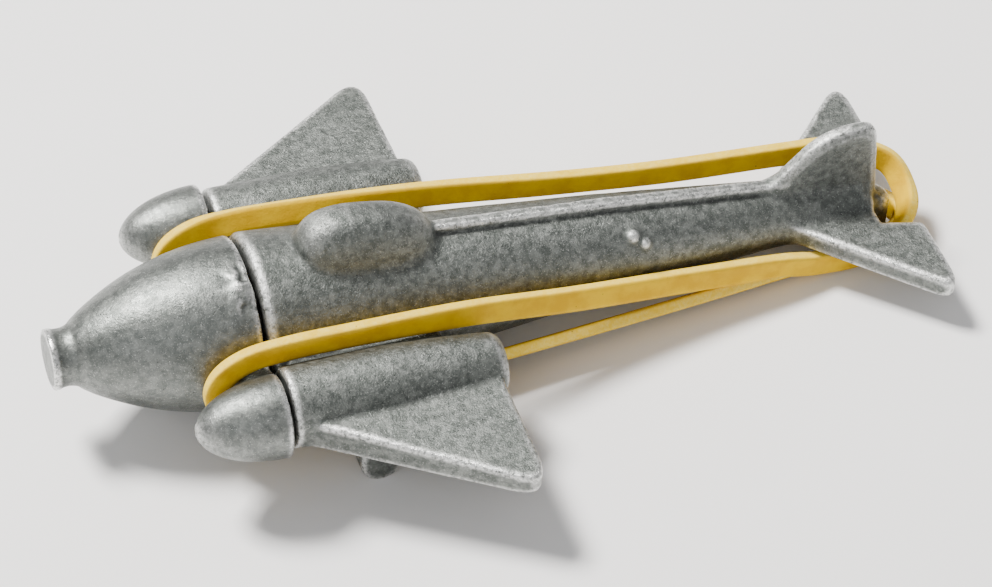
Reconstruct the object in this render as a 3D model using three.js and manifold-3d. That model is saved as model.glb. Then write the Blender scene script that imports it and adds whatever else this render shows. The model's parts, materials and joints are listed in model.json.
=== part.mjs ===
// Cap-firing toy rocket plane: two zinc castings pulled together by a rubber band.
// Millimetres, +Z up, +X towards the nose, +Y to port. The castings are described along the
// rocket's own axis, with x = 0 just behind the body's front rims, and the whole toy then rests
// nose-up on its two feet and its tail hook.

import * as THREE from 'three';
import { mergeVertices } from 'three/addons/utils/BufferGeometryUtils.js';
import Module from 'manifold-3d';

const wasm = await Module();
wasm.setup();

// ---- driving dimensions -------------------------------------------------------------------

const GAP = 0.3;                  // running gap kept between neighbouring pieces
const FIRING_GAP = 0.6;           // open slot between the body's rims and the noses' rims
const RIM = 1.2;                  // body's front rims, ahead of x = 0

const BODY_LENGTH = 81.2;         // fuselage, x = 0 to tail end
const TAPER_LENGTH = 78.0;        // stretch over which the fuselage narrows
const TAIL_DROP = 1.0;            // how far the tail end sags below the axis
const DROP_LENGTH = 36.0;         // stretch before the tail end over which it sags
const BODY_RADIUS = 10.65;        // at the front rim
const TAIL_RADIUS = 3.3;          // at the tail end
const CHAMBER_RADIUS = 7.4;       // cap chamber in the fuselage's front face
const CHAMBER_DEPTH = 4.5;
const ANVIL_RADIUS = 5.2;
const ANVIL_HEIGHT = 1.6;

const NOSE_LENGTH = 19.4;         // cone, rear rim to the knob
const NOSE_RADIUS = 10.5;
const KNOB_RADIUS = 3.8;
const KNOB_LENGTH = 4.6;

const POD_SPAN = 16.0;            // engine pod axis to rocket axis
const POD_NOSE_SPAN = 17.0;       // pod noses and guide pegs to rocket axis
const POD_LIFT = 0.45;            // pod axis above the rocket axis
const POD_LENGTH = 26.1;
const POD_RADIUS = 5.0;
const POD_NOSE_LENGTH = 10.8;
const POD_NOSE_RADIUS = 5.1;
const PEG_RADIUS = 1.5;
const PEG_CLEARANCE = 0.3;
const PEG_REACH = 14.0;           // peg length behind x = 0
const BORE_DEPTH = 16.0;

const WING_CORNER = 37.5;         // centre line to the tip before it is rounded
const WING_CHORD = 25.0;
const WING_THICKNESS = 4.4;       // at the pod
const WING_TIP_THICKNESS = 2.8;
const WING_ROOT = 20.2;           // centre line to the front end of the leading edge
const TIP_ROUND = 2.8;

const BRIDGE_THICKNESS = 4.4;     // webs that join the pods to the fuselage
const BRIDGE_LENGTH = 19.0;
const WEB_REACH = 4.4;            // front webs, rear rim to front edge
const WEB_THICKNESS = 5.6;

const TAIL_CORNER = 20.6;         // centre line to the tailplane tip before it is rounded
const TAIL_THICKNESS = 2.8;
const TAIL_OVERHANG = 4.6;        // tailplanes' rear edge behind the fuselage's end
const NOTCH = 5.2;                // slot in the tailplanes' rear edge, for the band
const FIN_HEIGHT = 11.8;          // fin tip above the rocket axis
const FIN_THICKNESS = 2.4;

const CANOPY_LENGTH = 17.9;
const CANOPY_WIDTH = 8.8;
const CANOPY_TOP = 14.7;          // above the rocket axis
const CANOPY_FRONT = 4.7;         // behind x = 0
const RIB_HEIGHT = 1.25;
const RIB_WIDTH = 2.0;

const HOOK_RADIUS = 2.2;
const HOOK_LIP = 0.35;            // flare at the hook's foot, which keeps the band on
const HOOK_TOP = -0.6;           // hook's top, below the rocket axis
const HOOK_DROP = 6.9;            // hook's foot below the rocket axis
const FOOT_RADIUS = 2.6;
const FOOT_DROP = 11.0;            // feet's bottoms below the rocket axis
const FOOT_SETBACK = 9.8;         // behind x = 0
const FOOT_SPAN = 18.6;
const FOOT_WIDTH = 3.8;

const BAND_WIDTH = 1.5;
const BAND_HEIGHT = 3.1;

// ---- materials ------------------------------------------------------------------------------

const castZinc = () => new THREE.MeshStandardMaterial({ color: 0x8a918f, roughness: 0.48, metalness: 0.85 });
const wornZinc = () => new THREE.MeshStandardMaterial({ color: 0x9aa09e, roughness: 0.4, metalness: 0.9 });
const bareZinc = () => new THREE.MeshStandardMaterial({ color: 0x7a7f7d, roughness: 0.55, metalness: 0.8 });
const yellowRubber = () => new THREE.MeshStandardMaterial({ color: 0xe0b020, roughness: 0.7, metalness: 0 });

// ---- solids ---------------------------------------------------------------------------------

function signedVolume(positions, triangles) {
  const [a, b, c] = [new THREE.Vector3(), new THREE.Vector3(), new THREE.Vector3()];
  let volume = 0;
  for (let i = 0; i < triangles.length; i += 3) {
    a.fromArray(positions, 3 * triangles[i]);
    b.fromArray(positions, 3 * triangles[i + 1]);
    c.fromArray(positions, 3 * triangles[i + 2]);
    volume += a.dot(b.cross(c)) / 6;
  }
  return volume;
}

// A geometry stripped to its shared vertices.
function welded(geometry) {
  const bare = geometry.clone();
  bare.deleteAttribute('normal');
  bare.deleteAttribute('uv');
  return mergeVertices(bare, 1e-4);
}

// A closed geometry as a solid, with its faces pointing out.
function toSolid(geometry) {
  const merged = welded(geometry);
  const triangles = [];
  for (let i = 0; i < merged.index.count; i += 3) {
    const [a, b, c] = [0, 1, 2].map((k) => merged.index.getX(i + k));
    if (a !== b && b !== c && c !== a) triangles.push(a, b, c);
  }
  const positions = merged.attributes.position.array;
  if (signedVolume(positions, triangles) < 0) triangles.reverse();
  return new wasm.Manifold(new wasm.Mesh({
    numProp: 3,
    vertProperties: new Float32Array(positions),
    triVerts: new Uint32Array(triangles),
  }));
}

function toGeometry(solid) {
  const mesh = solid.getMesh();
  const geometry = new THREE.BufferGeometry();
  geometry.setAttribute('position', new THREE.BufferAttribute(mesh.vertProperties, 3));
  geometry.setIndex(new THREE.BufferAttribute(mesh.triVerts, 1));
  geometry.computeVertexNormals();
  return geometry;
}

// A solid of revolution round a line parallel to X. The profile is [x, radius] pairs, rear to front.
function turned(profile, { y = 0, z = 0, grow = 0, segments = 40 } = {}) {
  const points = profile.map(([x, radius]) => new THREE.Vector2(radius > 0 ? radius + grow : 0, x));
  const geometry = welded(new THREE.LatheGeometry(points, segments));
  geometry.rotateZ(-Math.PI / 2);
  geometry.translate(0, y, z);
  return toSolid(geometry);
}

// A quarter-round between two profile points, bulging away from the axis.
function roundRim(x, radius, round, frontward, steps = 4) {
  return Array.from({ length: steps + 1 }, (_, i) => {
    const angle = (i / steps) * (Math.PI / 2);
    const along = round * (1 - Math.sin(angle));
    const inward = round * (1 - Math.cos(angle));
    return [x - along * frontward, radius - inward];
  });
}

// An outline whose corners are rounded: each point is [u, v] or [u, v, rounding].
function outline(points) {
  const shape = new THREE.Shape();
  const count = points.length;
  points.forEach(([u, v, round = 0], i) => {
    const here = new THREE.Vector2(u, v);
    const before = new THREE.Vector2(...points[(i + count - 1) % count].slice(0, 2));
    const after = new THREE.Vector2(...points[(i + 1) % count].slice(0, 2));
    const start = here.clone().add(before.sub(here).setLength(round));
    const end = here.clone().add(after.sub(here).setLength(round));
    if (i === 0) shape.moveTo(start.x, start.y);
    else shape.lineTo(start.x, start.y);
    if (round > 0) shape.quadraticCurveTo(u, v, end.x, end.y);
  });
  shape.closePath();
  return shape;
}

// A plan outline in X and Y, with its top and bottom heights given as functions of y.
function slab(points, top, bottom) {
  const geometry = new THREE.ExtrudeGeometry(outline(points), {
    depth: 1, bevelEnabled: false, curveSegments: 8,
  });
  const position = geometry.attributes.position;
  for (let i = 0; i < position.count; i += 1) {
    const y = position.getY(i);
    position.setZ(i, position.getZ(i) > 0.5 ? top(y) : bottom(y));
  }
  return toSolid(geometry);
}

// A side outline in X and Z, given thickness across Y.
function plate(points, yLow, yHigh) {
  const geometry = new THREE.ExtrudeGeometry(outline(points), {
    depth: yHigh - yLow, bevelEnabled: false, curveSegments: 8,
  });
  geometry.rotateX(Math.PI / 2);
  geometry.translate(0, yHigh, 0);
  return toSolid(geometry);
}

function mirrored(points) {
  return points.map(([x, y, ...rest]) => [x, -y, ...rest]);
}

// ---- profiles -------------------------------------------------------------------------------

const noseRear = RIM + FIRING_GAP;

// Fuselage radius at a distance behind x = 0: one long, slightly swelling taper, then a plain tail.
function fuselageRadius(behind) {
  const t = Math.min(Math.max(behind / TAPER_LENGTH, 0), 1);
  return TAIL_RADIUS + (BODY_RADIUS - TAIL_RADIUS) * (1 - t) * (1 + 0.05 * t);
}

// How far the fuselage's own centre line lies below the rocket axis.
function tailDrop(behind) {
  return TAIL_DROP * Math.max(0, (behind - BODY_LENGTH + DROP_LENGTH) / DROP_LENGTH);
}

function fuselageProfile() {
  const steps = 14;
  const rimRound = 0.6;
  const side = Array.from({ length: steps + 1 }, (_, i) => {
    const behind = rimRound - RIM + (1 - i / steps) * (BODY_LENGTH - 1.5 - rimRound + RIM);
    return [-behind, fuselageRadius(behind)];
  });
  return [
    [-BODY_LENGTH, 0],
    [-BODY_LENGTH, TAIL_RADIUS - 1.0],
    ...side,
    [RIM, BODY_RADIUS - rimRound],
    [RIM, 0],
  ];
}

// The fuselage's outside as a solid, sagging at the tail.
function fuselageForm(options) {
  return turned(fuselageProfile(), options).warp((point) => {
    point[2] -= tailDrop(-point[0]);
  });
}

// The cone's side swells from the knob to the rear rim as part of an ogive.
function noseRadius(ahead) {
  const t = Math.min(Math.max(ahead / NOSE_LENGTH, 0), 1);
  return KNOB_RADIUS + 1.4 + (NOSE_RADIUS - KNOB_RADIUS - 1.4) * (1 - Math.pow(t, 2.2));
}

function noseProfile() {
  const steps = 12;
  const rimRound = 0.5;
  const side = Array.from({ length: steps + 1 }, (_, i) => {
    const ahead = rimRound + (i / steps) * (NOSE_LENGTH - rimRound);
    return [noseRear + ahead, noseRadius(ahead)];
  });
  return [
    [noseRear, 0],
    [noseRear, NOSE_RADIUS - rimRound],
    ...side,
    [noseRear + NOSE_LENGTH, 0],
  ];
}

function podProfile() {
  return [
    [-POD_LENGTH, 0],
    [-POD_LENGTH, POD_RADIUS - 2.4],
    [-POD_LENGTH + 1.2, POD_RADIUS - 1.3],
    [-POD_LENGTH * 0.72, POD_RADIUS - 0.5],
    [-POD_LENGTH * 0.43, POD_RADIUS],
    ...roundRim(RIM, POD_RADIUS, 0.6, 1),
    [RIM, 0],
  ];
}

function podNoseProfile() {
  const steps = 10;
  const side = Array.from({ length: steps }, (_, i) => {
    const t = i / steps;
    return [noseRear + 0.4 + t * (POD_NOSE_LENGTH - 0.4), POD_NOSE_RADIUS * Math.pow(1 - t ** 2.2, 0.54)];
  });
  return [
    [noseRear, 0],
    [noseRear, POD_NOSE_RADIUS - 0.4],
    ...side,
    [noseRear + POD_NOSE_LENGTH, 0],
  ];
}

// Grown copies of the round bodies, which their neighbours are cut back from.
const aroundFuselage = fuselageForm({ grow: GAP });
const aroundNose = turned(noseProfile(), { grow: GAP });
const aroundPod = (side) => turned(podProfile(), { y: side * POD_SPAN, z: POD_LIFT, grow: GAP });
const aroundPodNose = (side) => turned(podNoseProfile(), { y: side * POD_NOSE_SPAN, z: POD_LIFT, grow: GAP });

// ---- body casting ---------------------------------------------------------------------------

function fuselage() {
  const chamber = turned([[-CHAMBER_DEPTH, 0], [-CHAMBER_DEPTH, CHAMBER_RADIUS],
    [RIM + 1, CHAMBER_RADIUS], [RIM + 1, 0]]);
  return fuselageForm({ segments: 56 }).subtract(chamber);
}

const anvilFace = -CHAMBER_DEPTH + GAP + ANVIL_HEIGHT;

function capAnvil() {
  const rear = -CHAMBER_DEPTH + GAP;
  return turned([[rear, 0], [rear, ANVIL_RADIUS], [anvilFace - 0.4, ANVIL_RADIUS],
    [anvilFace, ANVIL_RADIUS - 0.4], [anvilFace, 0]]);
}

function canopy() {
  const geometry = welded(new THREE.SphereGeometry(1, 36, 20));
  const front = CANOPY_LENGTH * 0.36;
  const rear = CANOPY_LENGTH - front;
  const middle = -CANOPY_FRONT - front;
  const sill = fuselageRadius(-middle) * 0.72;
  const sideFullness = 2.4;         // 2 is an ellipsoid, more is squarer
  const endFullness = 3.0;
  const position = geometry.attributes.position;
  for (let i = 0; i < position.count; i += 1) {
    const [u, v, w] = [position.getX(i), position.getY(i), position.getZ(i)];
    const across = Math.pow(Math.abs(v) ** sideFullness + Math.abs(w) ** sideFullness, 1 / sideFullness);
    const norm = Math.pow(Math.abs(u) ** endFullness + across ** endFullness, 1 / endFullness);
    const x = middle + (u / norm) * (u > 0 ? front : rear);
    const droop = Math.max(0, middle - x) * 0.12;
    position.setXYZ(i, x, (v / norm) * CANOPY_WIDTH / 2, sill + (w / norm) * (CANOPY_TOP - sill) - droop);
  }
  return toSolid(geometry).subtract(aroundFuselage);
}

const canopyRear = CANOPY_FRONT + CANOPY_LENGTH;
const finFront = BODY_LENGTH - 15.4;

function dorsalSpine() {
  const steps = 8;
  const top = Array.from({ length: steps + 1 }, (_, i) => {
    const behind = canopyRear + GAP + (i / steps) * (finFront - GAP - canopyRear - GAP);
    return [-behind, fuselageRadius(behind) - tailDrop(behind) + RIB_HEIGHT];
  });
  const [first, last] = [top[0], top[steps]];
  return plate([[first[0], 0], ...top, [last[0], 0]], -RIB_WIDTH / 2, RIB_WIDTH / 2).subtract(aroundFuselage);
}

function topFin() {
  const rear = -BODY_LENGTH;
  return plate([
    [-finFront, 0],
    [-finFront, 3.9],
    [-finFront - 4.2, FIN_HEIGHT - 4.6, 2.0],
    [-finFront - 9.0, FIN_HEIGHT + 0.6, 3.0],
    [rear + 0.2, FIN_HEIGHT - 1.4, 2.2],
    [rear, 0],
  ], -FIN_THICKNESS / 2, FIN_THICKNESS / 2).subtract(aroundFuselage);
}

const tailRear = -BODY_LENGTH - TAIL_OVERHANG;

function tailplane(side) {
  const sweep = tailRear + TAIL_CORNER;
  const points = [
    [sweep, 0],
    [tailRear, TAIL_CORNER, TIP_ROUND],
    [tailRear, 7.4, 0.6],
    [tailRear + NOTCH, 6.1, 0.8],
    [tailRear + NOTCH, 0],
  ];
  const top = 0.3;
  const solid = slab(side > 0 ? points : mirrored(points), () => top, () => top - TAIL_THICKNESS);
  return solid.subtract(aroundFuselage).subtract(aroundHook);
}

const hookX = -BODY_LENGTH - 1.0;
const hookProfile = (grow) => [
  new THREE.Vector2(0, -HOOK_DROP - 1),
  new THREE.Vector2(HOOK_RADIUS + HOOK_LIP + grow, -HOOK_DROP - 1),
  new THREE.Vector2(HOOK_RADIUS + HOOK_LIP + grow, -HOOK_DROP + 0.3),
  new THREE.Vector2(HOOK_RADIUS + grow, -HOOK_DROP + 1.1),
  new THREE.Vector2(HOOK_RADIUS + grow, HOOK_TOP - 1.0),
  new THREE.Vector2(HOOK_RADIUS - 0.8 + grow, HOOK_TOP + grow),
  new THREE.Vector2(0, HOOK_TOP + grow),
];

function hookPost(grow) {
  const geometry = welded(new THREE.LatheGeometry(hookProfile(grow), 28));
  geometry.rotateX(Math.PI / 2);
  geometry.translate(hookX, 0, 0);
  return toSolid(geometry);
}

const aroundHook = hookPost(GAP);

// The floor, seen from the rocket's own axis: it touches the feet in front and the hook behind.
const restSlope = (FOOT_DROP - HOOK_DROP) / (-FOOT_SETBACK - hookX);
const floorAt = (x) => -FOOT_DROP + restSlope * (-FOOT_SETBACK - x);

function belowFloor() {
  const [front, rear, deep] = [40, -110, 30];
  return plate([
    [rear, floorAt(rear)],
    [front, floorAt(front)],
    [front, -deep],
    [rear, -deep],
  ], -50, 50);
}

function tailHook() {
  return hookPost(0).subtract(aroundFuselage).subtract(belowFloor());
}

// Half the wing's thickness lost per millimetre outward from the pod's axis.
const wingTaper = (WING_THICKNESS - WING_TIP_THICKNESS) / 2 / (WING_CORNER - POD_SPAN);
const wingTop = (y) => WING_THICKNESS / 2 - (Math.abs(y) - POD_SPAN) * wingTaper;
const wingBottom = (y) => -wingTop(y);

function wing(side) {
  const front = 0.2;
  const rear = front - WING_CHORD;
  const points = [
    [front, POD_SPAN],
    [front, WING_ROOT],
    [rear, WING_CORNER, TIP_ROUND],
    [rear, POD_SPAN],
  ];
  return slab(side > 0 ? points : mirrored(points), wingTop, wingBottom).subtract(aroundPod(side));
}

function enginePod(side) {
  const bore = turned([[-BORE_DEPTH, 0], [-BORE_DEPTH, PEG_RADIUS + PEG_CLEARANCE],
    [RIM + 1, PEG_RADIUS + PEG_CLEARANCE], [RIM + 1, 0]],
  { y: side * POD_NOSE_SPAN, z: POD_LIFT, segments: 24 });
  return turned(podProfile(), { y: side * POD_SPAN, z: POD_LIFT }).subtract(bore).subtract(aroundFuselage);
}

function podBridge(side) {
  const points = [[-1, 0], [-1, POD_SPAN], [-1 - BRIDGE_LENGTH, POD_SPAN], [-1 - BRIDGE_LENGTH, 0]];
  return slab(side > 0 ? points : mirrored(points), () => BRIDGE_THICKNESS / 2, () => -BRIDGE_THICKNESS / 2)
    .subtract(aroundFuselage)
    .subtract(aroundPod(side));
}

function landingFoot(side) {
  const x = -FOOT_SETBACK;
  const inner = side * FOOT_SPAN - FOOT_WIDTH / 2;
  const under = (y) => wingBottom(y) - GAP;
  const wingRoom = slab([[5, side * 10], [5, side * 40], [-30, side * 40], [-30, side * 10]],
    () => 10, under);
  return plate([
    [x + FOOT_RADIUS, 0],
    [x + FOOT_RADIUS, -FOOT_DROP - 0.6, FOOT_RADIUS],
    [x - FOOT_RADIUS, -FOOT_DROP - 0.6, FOOT_RADIUS],
    [x - FOOT_RADIUS, 0],
  ], inner, inner + FOOT_WIDTH).subtract(aroundPod(side)).subtract(wingRoom).subtract(belowFloor());
}

// ---- nose casting ---------------------------------------------------------------------------

const knobRear = noseRear + NOSE_LENGTH + GAP;

function noseKnob() {
  const front = knobRear + KNOB_LENGTH;
  return turned([
    [knobRear, 0],
    [knobRear, KNOB_RADIUS + 1.3],
    [knobRear + 1.6, KNOB_RADIUS + 0.1],
    [knobRear + 2.8, KNOB_RADIUS - 0.2],
    [front - 0.3, KNOB_RADIUS],
    [front, KNOB_RADIUS - 0.3],
    [front, 0],
  ]);
}

function striker() {
  const front = noseRear - GAP;
  const rear = anvilFace + GAP;
  return turned([[rear, 0], [rear, ANVIL_RADIUS - 1.2], [rear + 0.4, ANVIL_RADIUS - 0.8],
    [front, ANVIL_RADIUS - 0.8], [front, 0]]);
}

function podNose(side) {
  return turned(podNoseProfile(), { y: side * POD_NOSE_SPAN, z: POD_LIFT }).subtract(aroundNose);
}

function noseWeb(side) {
  const half = WEB_THICKNESS / 2;
  const middle = 0.3;
  const front = noseRear + WEB_REACH;
  const [yLow, yHigh] = side > 0 ? [0, POD_NOSE_SPAN] : [-POD_NOSE_SPAN, 0];
  return plate([
    [noseRear, middle - half],
    [noseRear, middle + half],
    [front, middle + half, half * 0.95],
    [front, middle - half, half * 0.95],
  ], yLow, yHigh).subtract(aroundNose).subtract(aroundPodNose(side));
}

function guidePeg(side) {
  const front = noseRear - GAP;
  return turned([[-PEG_REACH, 0], [-PEG_REACH, PEG_RADIUS - 0.5], [-PEG_REACH + 0.5, PEG_RADIUS],
    [front, PEG_RADIUS], [front, 0]], { y: side * POD_NOSE_SPAN, z: POD_LIFT, segments: 24 });
}

// ---- rubber band ----------------------------------------------------------------------------

// One closed loop, stretched round the tail hook twice and over the front of both nose webs.
// Each point is x, y, z and how far the section is turned about the strand there, in degrees.
const bandRoute = [
  // round the tail, above the starboard tailplane and below the port one
  [-86.5, -0.6, -0.7, 35],
  [-85.9, 2.8, -2.0, 30],
  [-83.2, 5.0, -4.0, 15],
  [-79.0, 6.0, -4.9, 0],
  // port upper strand
  [-72, 6.4, -4.5, 0],
  [-67, 6.6, -3.4, 0],
  [-55, 7.3, -1.8, -10],
  [-38, 8.8, 0.9, -15],
  [-24, 10.1, 3.7, -10],
  [-9, 11.1, 5.3, 0],
  // over the port web and back under the belly
  [0, 11.4, 5.6, 0],
  [4.6, 11.45, 5.0, 0],
  [7.4, 11.5, 3.2, 0],
  [8.4, 11.5, 0.5, 0],
  [7.4, 11.5, -2.6, 0],
  [4.2, 11.5, -4.5, 0],
  [-2, 11.3, -5.6, -20],
  [-28, 9.6, -5.5, -45],
  [-54, 7.4, -5.4, -45],
  [-72, 5.4, -5.5, -30],
  [-79.5, 4.2, -5.2, 0],
  // second turn round the hook, under the first
  [-84.6, 2.9, -5.1, 0],
  [-86.1, 0, -5.0, 0],
  [-84.6, -2.9, -5.1, 0],
  [-79.5, -4.4, -5.2, 0],
  [-72, -5.4, -5.3, 0],
  [-54, -7.4, -5.4, 0],
  [-28, -9.6, -5.5, 0],
  [-2, -11.3, -5.4, 0],
  // over the starboard web
  [4.2, -11.5, -4.5, 0],
  [7.4, -11.5, -2.6, 0],
  [8.4, -11.5, 0.5, 0],
  [7.4, -11.5, 3.2, 0],
  [4.6, -11.5, 4.9, 10],
  [0, -11.4, 5.4, 30],
  [-9, -11.1, 5.3, 35],
  // starboard upper strand
  [-24, -10.2, 4.9, 10],
  [-42, -8.5, 3.8, 0],
  [-56, -7.3, 3.2, 0],
  [-72, -6.6, 2.7, 0],
  [-78.0, -6.0, 2.6, 10],
  [-82.6, -4.9, 2.0, 20],
  [-85.6, -3.3, 0.8, 30],
];

const bandSection = [[-1, -0.7], [-0.8, -1], [0.8, -1], [1, -0.7], [1, 0.7], [0.8, 1], [-0.8, 1], [-1, 0.7]];

// The section's turn at a place along the route, shared out between the two nearest points.
function bandTurn(place) {
  const count = bandRoute.length;
  const here = Math.floor(place * count);
  const [before, after] = [bandRoute[here % count], bandRoute[(here + 1) % count]];
  return THREE.MathUtils.degToRad(THREE.MathUtils.lerp(before[3], after[3], place * count - here));
}

function rubberBand() {
  const path = new THREE.CatmullRomCurve3(bandRoute.map(([x, y, z]) => new THREE.Vector3(x, y, z)),
    true, 'centripetal');
  const steps = 160;
  const ringStart = -78;
  const positions = [];
  for (let i = 0; i < steps; i += 1) {
    const centre = path.getPointAt(i / steps);
    const tangent = path.getTangentAt(i / steps);
    const outward = new THREE.Vector3(Math.min(0, centre.x - ringStart), centre.y, 0);
    const turn = bandTurn(path.getUtoTmapping(i / steps));
    const side = outward.addScaledVector(tangent, -outward.dot(tangent)).normalize()
      .applyAxisAngle(tangent, -turn);
    const up = tangent.clone().cross(side);
    for (const [w, h] of bandSection) {
      const corner = centre.clone()
        .addScaledVector(side, w * BAND_WIDTH / 2)
        .addScaledVector(up, h * BAND_HEIGHT / 2);
      positions.push(...corner.toArray());
    }
  }
  const ring = bandSection.length;
  const triangles = [];
  for (let i = 0; i < steps; i += 1) {
    for (let k = 0; k < ring; k += 1) {
      const [a, b] = [i * ring + k, i * ring + (k + 1) % ring];
      const [c, d] = [((i + 1) % steps) * ring + k, ((i + 1) % steps) * ring + (k + 1) % ring];
      triangles.push(a, b, d, a, d, c);
    }
  }
  const geometry = new THREE.BufferGeometry();
  geometry.setAttribute('position', new THREE.Float32BufferAttribute(positions, 3));
  geometry.setIndex(triangles);
  return toSolid(geometry);
}

// ---- assembly -------------------------------------------------------------------------------

const rocket = new THREE.Group();
rocket.rotation.y = -Math.atan(restSlope);

function add(name, solid, material) {
  const mesh = new THREE.Mesh(toGeometry(solid), material);
  mesh.name = name;
  rocket.add(mesh);
}

add('fuselage', fuselage(), castZinc());
add('cap_anvil', capAnvil(), bareZinc());
add('canopy', canopy(), castZinc());
add('dorsal_spine', dorsalSpine(), wornZinc());
add('top_fin', topFin(), castZinc());
add('tail_hook', tailHook(), bareZinc());
add('nose_cone', turned(noseProfile(), { segments: 56 }), castZinc());
add('nose_knob', noseKnob(), castZinc());
add('striker', striker(), bareZinc());

for (const [hand, side] of [['left', 1], ['right', -1]]) {
  add(`${hand}_tailplane`, tailplane(side), castZinc());
  add(`${hand}_wing`, wing(side), castZinc());
  add(`${hand}_engine_pod`, enginePod(side), castZinc());
  add(`${hand}_pod_bridge`, podBridge(side), castZinc());
  add(`${hand}_landing_foot`, landingFoot(side), bareZinc());
  add(`${hand}_pod_nose`, podNose(side), castZinc());
  add(`${hand}_nose_web`, noseWeb(side), castZinc());
  add(`${hand}_guide_peg`, guidePeg(side), bareZinc());
}

add('rubber_band', rubberBand(), yellowRubber());

// Origin under the middle of the toy, on the surface it stands on.
const root = new THREE.Group();
root.add(rocket);
const box = new THREE.Box3().setFromObject(root, true);
const middle = box.getCenter(new THREE.Vector3());
root.position.set(-middle.x, -middle.y, -box.min.z);

export default root;
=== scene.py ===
"""Cap-firing toy rocket plane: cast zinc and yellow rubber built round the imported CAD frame.

The castings are described in millimetres along the rocket's own axis (x = 0 just behind the
body's front rims, +x to the nose, +y to port) as distance fields, so that features meet in
fillets as they do on a real casting.
"""

import json
import math

import bpy
import numpy as np
from mathutils import Matrix, Vector


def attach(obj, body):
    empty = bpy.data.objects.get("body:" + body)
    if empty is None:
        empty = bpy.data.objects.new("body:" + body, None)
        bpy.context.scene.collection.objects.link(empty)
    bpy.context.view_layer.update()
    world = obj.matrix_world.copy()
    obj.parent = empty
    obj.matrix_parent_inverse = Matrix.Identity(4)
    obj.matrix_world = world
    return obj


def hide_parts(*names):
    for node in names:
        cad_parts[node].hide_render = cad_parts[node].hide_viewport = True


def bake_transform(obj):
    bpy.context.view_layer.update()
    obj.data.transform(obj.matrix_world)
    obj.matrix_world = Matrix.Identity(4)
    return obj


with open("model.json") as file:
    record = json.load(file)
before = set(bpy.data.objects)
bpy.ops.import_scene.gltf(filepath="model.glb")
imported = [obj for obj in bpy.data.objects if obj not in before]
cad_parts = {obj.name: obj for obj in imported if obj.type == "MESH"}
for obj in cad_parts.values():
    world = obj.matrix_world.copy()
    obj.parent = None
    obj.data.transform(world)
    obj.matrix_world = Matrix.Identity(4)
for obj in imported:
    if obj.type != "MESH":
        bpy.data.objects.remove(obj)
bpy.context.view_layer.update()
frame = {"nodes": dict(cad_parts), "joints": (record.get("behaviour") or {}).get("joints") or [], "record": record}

# ---- sizes, in millimetres ------------------------------------------------------------------

MM = 0.001
NOSE_TIP_X = 26.1              # front disc of the nose in the CAD frame
RIM_X = 1.2                    # front rims of the body and its pods
NOSE_REAR_X = 1.8              # rear rims of the nose casting

BODY_RADIUS, TAIL_RADIUS = 10.65, 3.3
BODY_LENGTH, TAPER_LENGTH = 81.2, 78.0
TAIL_DROP, DROP_LENGTH = 1.0, 36.0
CHAMBER_RADIUS, CHAMBER_DEPTH = 7.4, 4.5

NOSE_RADIUS, NOSE_LENGTH = 10.5, 19.4
KNOB_RADIUS = 3.8

POD_SPAN, POD_NOSE_SPAN, POD_LIFT = 16.0, 17.0, 0.45
POD_RADIUS, POD_LENGTH = 5.0, 26.1
POD_NOSE_RADIUS, POD_NOSE_LENGTH = 5.1, 10.8
BORE_RADIUS, BORE_DEPTH = 1.8, 16.0
WEB_FRONT_X, WEB_HALF, WEB_MIDDLE = 6.2, 2.8, 0.3
BRIDGE_FRONT_X, BRIDGE_REAR_X, BRIDGE_HALF = -1.0, -20.0, 2.2

WING_FRONT_X, WING_ROOT = 0.2, 20.2
WING_REAR_X, WING_CORNER = -24.8, 37.5
WING_HALF, WING_TAPER = 2.2, 0.037
TAIL_REAR_X, TAIL_CORNER = -85.8, 20.6
NOTCH_FRONT_X = TAIL_REAR_X + 5.2
TAIL_TOP, TAIL_BOTTOM = 0.3, -2.5
FIN_HALF, FIN_EDGE_HALF = 1.2, 0.65

FOOT_X, FOOT_SPAN, FOOT_HALF = -9.8, 18.6, 1.9
FOOT_RADIUS, FOOT_DROP = 2.6, 11.0
HOOK_X, HOOK_RADIUS, HOOK_DROP, HOOK_TOP = -82.2, 2.2, 6.9, -0.7

BAND_WIDTH, BAND_HEIGHT = 1.5, 3.1
BAND_SPACING = 0.45            # between the band's cross-sections

GRID_STEP = 0.28
NOSE_STEP = 0.22

# ---- rocket frame to row frame --------------------------------------------------------------

axis_x = Vector(frame["joints"][0]["axis"]).normalized()
axis_y = Vector((0, 1, 0))
axis_z = axis_x.cross(axis_y)
tip = [Vector(m["pos_m"]) for m in frame["record"]["mounts"] if m["name"] == "nose_tip_face"][0]
to_row = Matrix((axis_x, axis_y, axis_z)).transposed().to_4x4()
to_row.translation = tip - axis_x * NOSE_TIP_X * MM


def row_point(x, y, z):
    """A point given in rocket millimetres, in the row frame's metres."""
    return to_row @ (Vector((x, y, z)) * MM)


def row_direction(x, y, z):
    return (to_row.to_3x3() @ Vector((x, y, z))).normalized()


# ---- distance fields ------------------------------------------------------------------------


class Grid:
    """A box of sample points, in rocket millimetres."""

    def __init__(self, low, high, step):
        self.step = step
        counts = [round((b - a) / step) + 1 for a, b in zip(low, high)]
        axes = [a + step * np.arange(n, dtype=np.float32) for a, n in zip(low, counts)]
        self.low = np.array(low, np.float32)
        self.x = axes[0][:, None, None]
        self.y = axes[1][None, :, None]
        self.z = axes[2][None, None, :]

    def both_sides(self):
        """The grid with its mirror image in y = 0, which must be its first column."""
        span = self.step * (self.y.size - 1)
        return Grid((self.low[0], -span, self.low[2]), (self.x[-1, 0, 0], span, self.z[0, 0, -1]), self.step)


def union(a, b, blend):
    """The nearer of two fields, with a fillet about as wide as blend."""
    h = np.maximum(blend - np.abs(a - b), 0) / blend
    return np.minimum(a, b) - h * h * blend / 4


def common(a, b, blend):
    """What is inside both fields, with its new edge rounded."""
    return -union(-a, -b, blend)


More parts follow.
